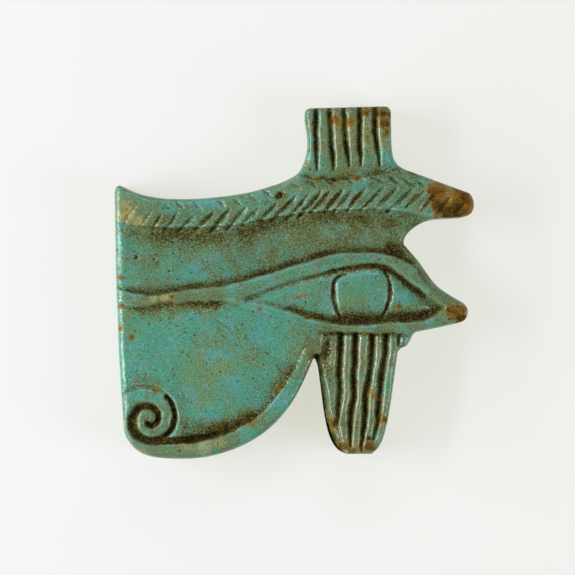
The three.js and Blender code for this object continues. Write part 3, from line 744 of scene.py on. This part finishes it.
def saveLayers(mesh, co, share, earthAndShade):
    sunk = []
    # earth and painted shade, more the lower a spot lies than its neighbours, as in recesses
    for rounds, full, least, strength in surface["hollows"]:
        sunk.append(neighbourMean(mesh, co[:, 2], rounds) - co[:, 2])
        earthAndShade = earthAndShade + strength * np.clip(sunk[-1] / full, least, 1)
    earthAndShade *= 1 + waves(co[:, :2], surface["patchy"])
    saveLayer(mesh, "earthAndShade", share * earthAndShade / 2)  # half, as a layer holds 0 to 1 and earth and shade go up to 2
    # pale on crests: worn glaze, and partly a painted highlight
    saveLayer(mesh, "ridge", share * np.clip(-sunk[0] / surface["ridge"], 0, 1))
    for name, places in stains.items():
        saveLayer(mesh, name, share * spotted(co[:, :2], places))


def carveFront(piece):
    mesh = piece.data
    co = points(mesh)
    share = smooth(blank["readAt"], solidSize.z - surface["fade"], co[:, 2])
    front = share > 0
    depth, earthAndShade = np.zeros((2, len(co)))
    depth[front], earthAndShade[front] = carve(co[front, :2])
    depth = neighbourMean(mesh, depth, surface["softRounds"])
    co[:, 2] -= np.clip(depth, -surface["highest"], surface["deepest"]) * share
    co[:, 2] *= solidSize.z / co[:, 2].max()
    co = unevenSides(co, share)
    mesh.vertices.foreach_set("co", co.ravel())
    mesh.update()
    saveLayers(mesh, co, share, earthAndShade)
    thin = piece.modifiers.new("thin", "DECIMATE")
    thin.ratio = blank["triangles"] / (2 * len(mesh.polygons))  # the blank's faces are quads
    applyModifiers(piece)
    piece.data.transform(Matrix.Scale(mm, 4))
    kept = np.clip(points(piece.data), *(np.array(end) for end in cadBox))
    piece.data.vertices.foreach_set("co", kept.ravel())
    piece.data.update()
    piece.data.shade_smooth()
    print("front carved,", len(piece.data.polygons), "triangles")


# Faience: paints are sRGB, as one sees them
def paint(red, green, blue):
    return tuple((c / 255 / 12.92 if c < 10.3 else ((c / 255 + 0.055) / 1.055) ** 2.4)
                 for c in (red, green, blue)) + (1.0,)


faience = {
    "teal": paint(62, 136, 116), "blue": paint(78, 140, 136), "green": paint(89, 126, 90),
    "grey": paint(92, 110, 74), "buff": paint(158, 144, 88), "pale": paint(150, 186, 162),
    # olive, brown and near black paints, for earth and painted shade alike
    "olive": paint(81, 84, 34), "earthAndShade": paint(54, 52, 14), "sootAndShade": paint(26, 18, 4),
    "amber": paint(122, 78, 0), "deepAmber": paint(56, 38, 1), "rust": paint(100, 60, 6),
    "gold": paint(124, 100, 22), "pepper": paint(44, 44, 14), "sand": paint(128, 114, 44),
    "specular": 0.1, "coatRoughness": 0.11, "coatLeast": 0.05,
    "bump": 0.023, "glossBump": 0.03,  # mm
}
# Noises as size in mm, detail, roughness, distortion and offset in metres
noises = {
    "clouds": (8, 3, 0.6, 0.4), "patches": (2.2, 4, 0.65, 0.3, 0.013), "blueing": (3.4, 3, 0.6, 0.2, 0.02),
    "grain": (0.3, 2, 0.6, 0, 0.03), "speck": (0.17, 1, 0.5, 0, 0.05), "flecks": (0.55, 2, 0.7, 0, 0.07),
    "pepper": (0.5, 1, 0.5, 0, 0.09), "gold": (0.6, 1, 0.5, 0, 0.11), "shine": (1.1, 3, 0.6, 0, 0.15),
    "gloss": (0.55, 1, 0.5, 0, 0.13),
}
# Where a finish starts and where it is full, and then its shares there, if they aren't 0 and 1
finish = {
    "green": (0.38, 0.66), "blue": (0.48, 0.66, 0, 0.85), "ridge": (0.1, 1, 0, 0.18),
    "wash": (0.12, 0.85, 0, 0.9), "buff": (0.12, 0.9, 0, 0.8),
    "olive": (0.05, 0.75, 0, 0.85), "earthAndShade": (0.6, 1.2), "sootAndShade": (1.15, 1.75),
    "flecks": (0.52, 0.68), "flecksInEarth": (1.05, 1.4, 0, 0.42),
    "amberFringe": (0.05, 0.4, 0, 0.75), "amber": (0.25, 0.85), "deepAmber": (0.42, 0.72),
    "rustFringe": (0.2, 0.6, 0, 0.6), "rust": (0.45, 0.9, 0, 0.9),
    "pepperSpecks": (0.67, 0.73, 0, 0.8), "goldSpecks": (0.67, 0.74, 0, 0.6),
    "bareGlaze": (0.35, 1.15, 1, 0), "paleGrainAndGlint": (0.2, 0.7), "paleGrainAndGlintShare": (0, 1, 0.48, 0.32),
    "darkGrain": (-0.3, -0.8, 0, 0.45), "roughness": (0.1, 1.0, 0.4, 0.8), "shine": (0.36, 0.62, 0.35, 0.9),
    "grain": (0.25, 0.75, -1, 1, "LINEAR"),
}
lumpy = {"wash": 1.1, "buff": 0.9, "dirtAndShade": 0.95, "amber": 2.2}  # how much the patches break up an edge
grainy = {"dirtAndShade": 0.9, "dirtSpeck": 0.5, "dirtLeast": 0.28, "dirtByEarth": 0.45, "amber": 0.3, "rust": 0.3,
          "deepByEarth": 0.7, "deepSpeck": 0.08, "speck": 0.4, "gloss": 0.5}


class Graph:  # short hand for a material's nodes
    def __init__(self, name):
        self.material = bpy.data.materials.new(name)
        self.material.use_nodes = True
        self.tree = self.material.node_tree
        self.shader = self.tree.nodes["Principled BSDF"]
        self.place = self.add("ShaderNodeTexCoord").outputs["Object"]

    def add(self, kind, **settings):
        node = self.tree.nodes.new(kind)
        for key, value in settings.items():
            setattr(node, key, value)
        return node

    def join(self, source, socket):
        if isinstance(source, (int, float, tuple)):
            socket.default_value = source
        else:
            self.tree.links.new(source, socket)

    def layer(self, name):
        return self.add("ShaderNodeAttribute", attribute_name=name).outputs["Fac"]

    def noise(self, size, detail, roughness, distortion, offset=0.0):
        source = self.place
        if offset:
            shift = self.add("ShaderNodeMapping")
            self.join(source, shift.inputs["Vector"])
            shift.inputs["Location"].default_value = (offset, -offset, offset)
            source = shift.outputs[0]
        node = self.add("ShaderNodeTexNoise")
        self.join(source, node.inputs["Vector"])
        node.inputs["Scale"].default_value = 1 / (size * mm)
        node.inputs["Detail"].default_value = detail
        node.inputs["Roughness"].default_value = roughness
        node.inputs["Distortion"].default_value = distortion
        return node.outputs["Fac"]

    def math(self, operation, a, b):
        node = self.add("ShaderNodeMath", operation=operation)
        self.join(a, node.inputs[0])
        self.join(b, node.inputs[1])
        return node.outputs[0]

    def span(self, value, low, high, outLow=0.0, outHigh=1.0, kind="SMOOTHSTEP"):
        node = self.add("ShaderNodeMapRange", interpolation_type=kind)
        self.join(value, node.inputs["Value"])
        for key, number in (("From Min", low), ("From Max", high), ("To Min", outLow), ("To Max", outHigh)):
            node.inputs[key].default_value = number
        return node.outputs["Result"]

    def mix(self, share, a, b):  # sockets 0, 6 and 7 are the factor and both colours
        node = self.add("ShaderNodeMix", data_type="RGBA")
        self.join(share, node.inputs[0])
        self.join(a, node.inputs[6])
        self.join(b, node.inputs[7])
        return node.outputs[2]

    def bump(self, height, distance, socket):
        node = self.add("ShaderNodeBump")
        node.inputs["Strength"].default_value = 1
        node.inputs["Distance"].default_value = distance * mm
        self.join(height, node.inputs["Height"])
        self.join(node.outputs[0], self.shader.inputs[socket])


def faienceMaterial():
    g = Graph("turquoise_faience")

    def times(a, b):
        return g.math("MULTIPLY", a, b)

    def plus(a, b):
        return g.math("ADD", a, b)

    def noise(name):
        return g.noise(*noises[name])

    def step(value, name):
        return g.span(value, *finish[name])

    def cover(colour, value, name, coat=None):  # lays a paint over the colour as the value rises
        return g.mix(step(value, name), colour, faience[coat or name])

    patches = noise("patches")
    lumps = g.math("SUBTRACT", patches, 0.5)
    grain = step(noise("grain"), "grain")
    speck = step(noise("speck"), "grain")
    fine = plus(grain, times(speck, grainy["speck"]))
    colour = cover(faience["teal"], noise("clouds"), "green")
    colour = cover(colour, noise("blueing"), "blue")
    # pale crests: worn glaze, and partly a painted highlight
    colour = cover(colour, g.layer("ridge"), "ridge", "pale")
    colour = cover(colour, plus(g.layer("wash"), times(lumps, lumpy["wash"])), "wash", "grey")
    colour = cover(colour, plus(g.layer("buff"), times(lumps, lumpy["buff"])), "buff")

    # earth and painted shade darken where the carving is deep, and break up into specks at their edge
    earthAndShade = times(g.layer("earthAndShade"), 2)  # the layer holds half of it
    sprinkle = g.math("SUBTRACT", times(grain, grainy["dirtAndShade"]), times(speck, grainy["dirtSpeck"]))
    sprinkle = times(sprinkle, plus(times(earthAndShade, grainy["dirtByEarth"]), grainy["dirtLeast"]))
    dirtAndShade = plus(plus(earthAndShade, sprinkle), times(lumps, lumpy["dirtAndShade"]))
    # olive, brown and near black in turn, for earth and painted shade alike
    for name in ("olive", "earthAndShade", "sootAndShade"):
        colour = cover(colour, dirtAndShade, name)
    flecks = times(step(noise("flecks"), "flecks"), step(dirtAndShade, "flecksInEarth"))
    colour = g.mix(flecks, colour, faience["gold"])

    # iron stains, with a golden fringe
    uneven = plus(plus(1, times(lumps, lumpy["amber"])), times(grain, grainy["amber"]))
    amber = times(g.layer("amber"), uneven)
    deep = plus(plus(patches, times(g.layer("earthAndShade"), grainy["deepByEarth"])),
                times(speck, grainy["deepSpeck"]))
    amberCoat = g.mix(step(deep, "deepAmber"), faience["amber"], faience["deepAmber"])
    colour = cover(colour, amber, "amberFringe", "gold")
    colour = g.mix(step(amber, "amber"), colour, amberCoat)
    rust = plus(g.layer("rust"), times(grain, grainy["rust"]))
    colour = cover(colour, rust, "rustFringe", "gold")
    colour = cover(colour, rust, "rust")

    # sparse dark and golden specks of iron in the glaze
    colour = cover(colour, noise("pepper"), "pepperSpecks", "pepper")
    colour = cover(colour, noise("gold"), "goldSpecks", "gold")

    # grain, pale on the glaze and sandy in the earth and painted shade; the pale grains are partly painted
    # sparkle highlights
    bareGlaze = step(plus(dirtAndShade, plus(amber, g.layer("rust"))), "bareGlaze")
    grainAndGlintCoat = g.mix(bareGlaze, faience["sand"], faience["pale"])
    colour = g.mix(times(step(speck, "paleGrainAndGlint"), step(bareGlaze, "paleGrainAndGlintShare")), colour, grainAndGlintCoat)
    colour = cover(colour, fine, "darkGrain", "pepper")

    g.join(colour, g.shader.inputs["Base Color"])
    g.join(step(dirtAndShade, "roughness"), g.shader.inputs["Roughness"])
    shine = step(noise("shine"), "shine")
    g.join(plus(times(bareGlaze, shine), faience["coatLeast"]), g.shader.inputs["Coat Weight"])
    g.shader.inputs["Coat Roughness"].default_value = faience["coatRoughness"]
    g.shader.inputs["Specular IOR Level"].default_value = faience["specular"]
    g.bump(fine, faience["bump"], "Normal")
    g.bump(plus(noise("gloss"), times(grain, grainy["gloss"])), faience["glossBump"], "Coat Normal")
    return g.material


# Studio: white table, large soft lights and a long lens straight above
studio = {
    "lens": 180, "sensor": 36, "frameWidth": 79.97, "aim": (-0.94, -0.70), "aimUp": 5.6,  # mm
    "clip": (0.01, 10),  # metres, as are the table's side and the lamps
    "tableSide": 1.2, "tableUp": -0.02, "table": (0.21, 0.21, 0.28), "tableGlow": (0.64, 0.64, 0.54),
    "tableRoughness": 0.9, "tableSpecular": 0.1,
    "lamps": {  # place, width and height, watts
        "key": ((-0.27, 0.03, 0.20), (0.2, 0.04), 0.6),
        "left": ((-0.30, -0.04, 0.20), (0.13, 0.32), 0.22),
        "right": ((0.31, -0.10, 0.17), (0.16, 0.28), 0.95),
        "strip": ((-0.32, -0.03, 0.10), (0.34, 0.04), 1.05),
        "far": ((0.03, 0.34, 0.24), (0.2, 0.2), 0.42)},
    "room": 0.19,
}


def buildStudio():
    table = bmesh.new()
    bmesh.ops.create_grid(table, x_segments=1, y_segments=1, size=studio["tableSide"] / 2)
    bmesh.ops.translate(table, vec=(0, 0, studio["tableUp"] * mm), verts=table.verts)
    floor = makeObject("table", table)
    g = Graph("glowing_table")
    g.shader.inputs["Base Color"].default_value = (*studio["table"], 1)
    g.shader.inputs["Roughness"].default_value = studio["tableRoughness"]
    g.shader.inputs["Specular IOR Level"].default_value = studio["tableSpecular"]
    g.shader.inputs["Emission Color"].default_value = (*studio["tableGlow"], 1)
    g.shader.inputs["Emission Strength"].default_value = 1
    floor.data.materials.append(g.material)

    for name, (place, (wide, tall), power) in studio["lamps"].items():
        lamp = bpy.data.lights.new(name, "AREA")
        lamp.shape, lamp.energy, lamp.size, lamp.size_y = "RECTANGLE", power, wide, tall
        light = bpy.data.objects.new(name, lamp)
        light.location = place
        light.rotation_euler = (-Vector(place)).to_track_quat("-Z", "Y").to_euler()
        bpy.context.scene.collection.objects.link(light)
    world = bpy.data.worlds.new("studio")
    world.use_nodes = True
    world.node_tree.nodes["Background"].inputs["Color"].default_value = (1, 1, 1, 1)
    world.node_tree.nodes["Background"].inputs["Strength"].default_value = studio["room"]
    bpy.context.scene.world = world

    lens = bpy.data.cameras.new("long_lens")
    lens.lens, lens.sensor_width = studio["lens"], studio["sensor"]
    lens.clip_start, lens.clip_end = studio["clip"]
    camera = bpy.data.objects.new("camera", lens)
    away = studio["frameWidth"] * studio["lens"] / studio["sensor"] + studio["aimUp"]
    camera.location = (studio["aim"][0] * mm, studio["aim"][1] * mm, away * mm)
    bpy.context.scene.collection.objects.link(camera)
    bpy.context.scene.camera = camera
    bpy.context.scene.view_settings.view_transform = "Standard"
    print("studio set")


amulet, border = makeBlank()
roundRims(amulet, border)
carveFront(amulet)
amulet.data.materials.clear()
amulet.data.materials.append(faienceMaterial())
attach(amulet, "root")
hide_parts(nodeName)
buildStudio()
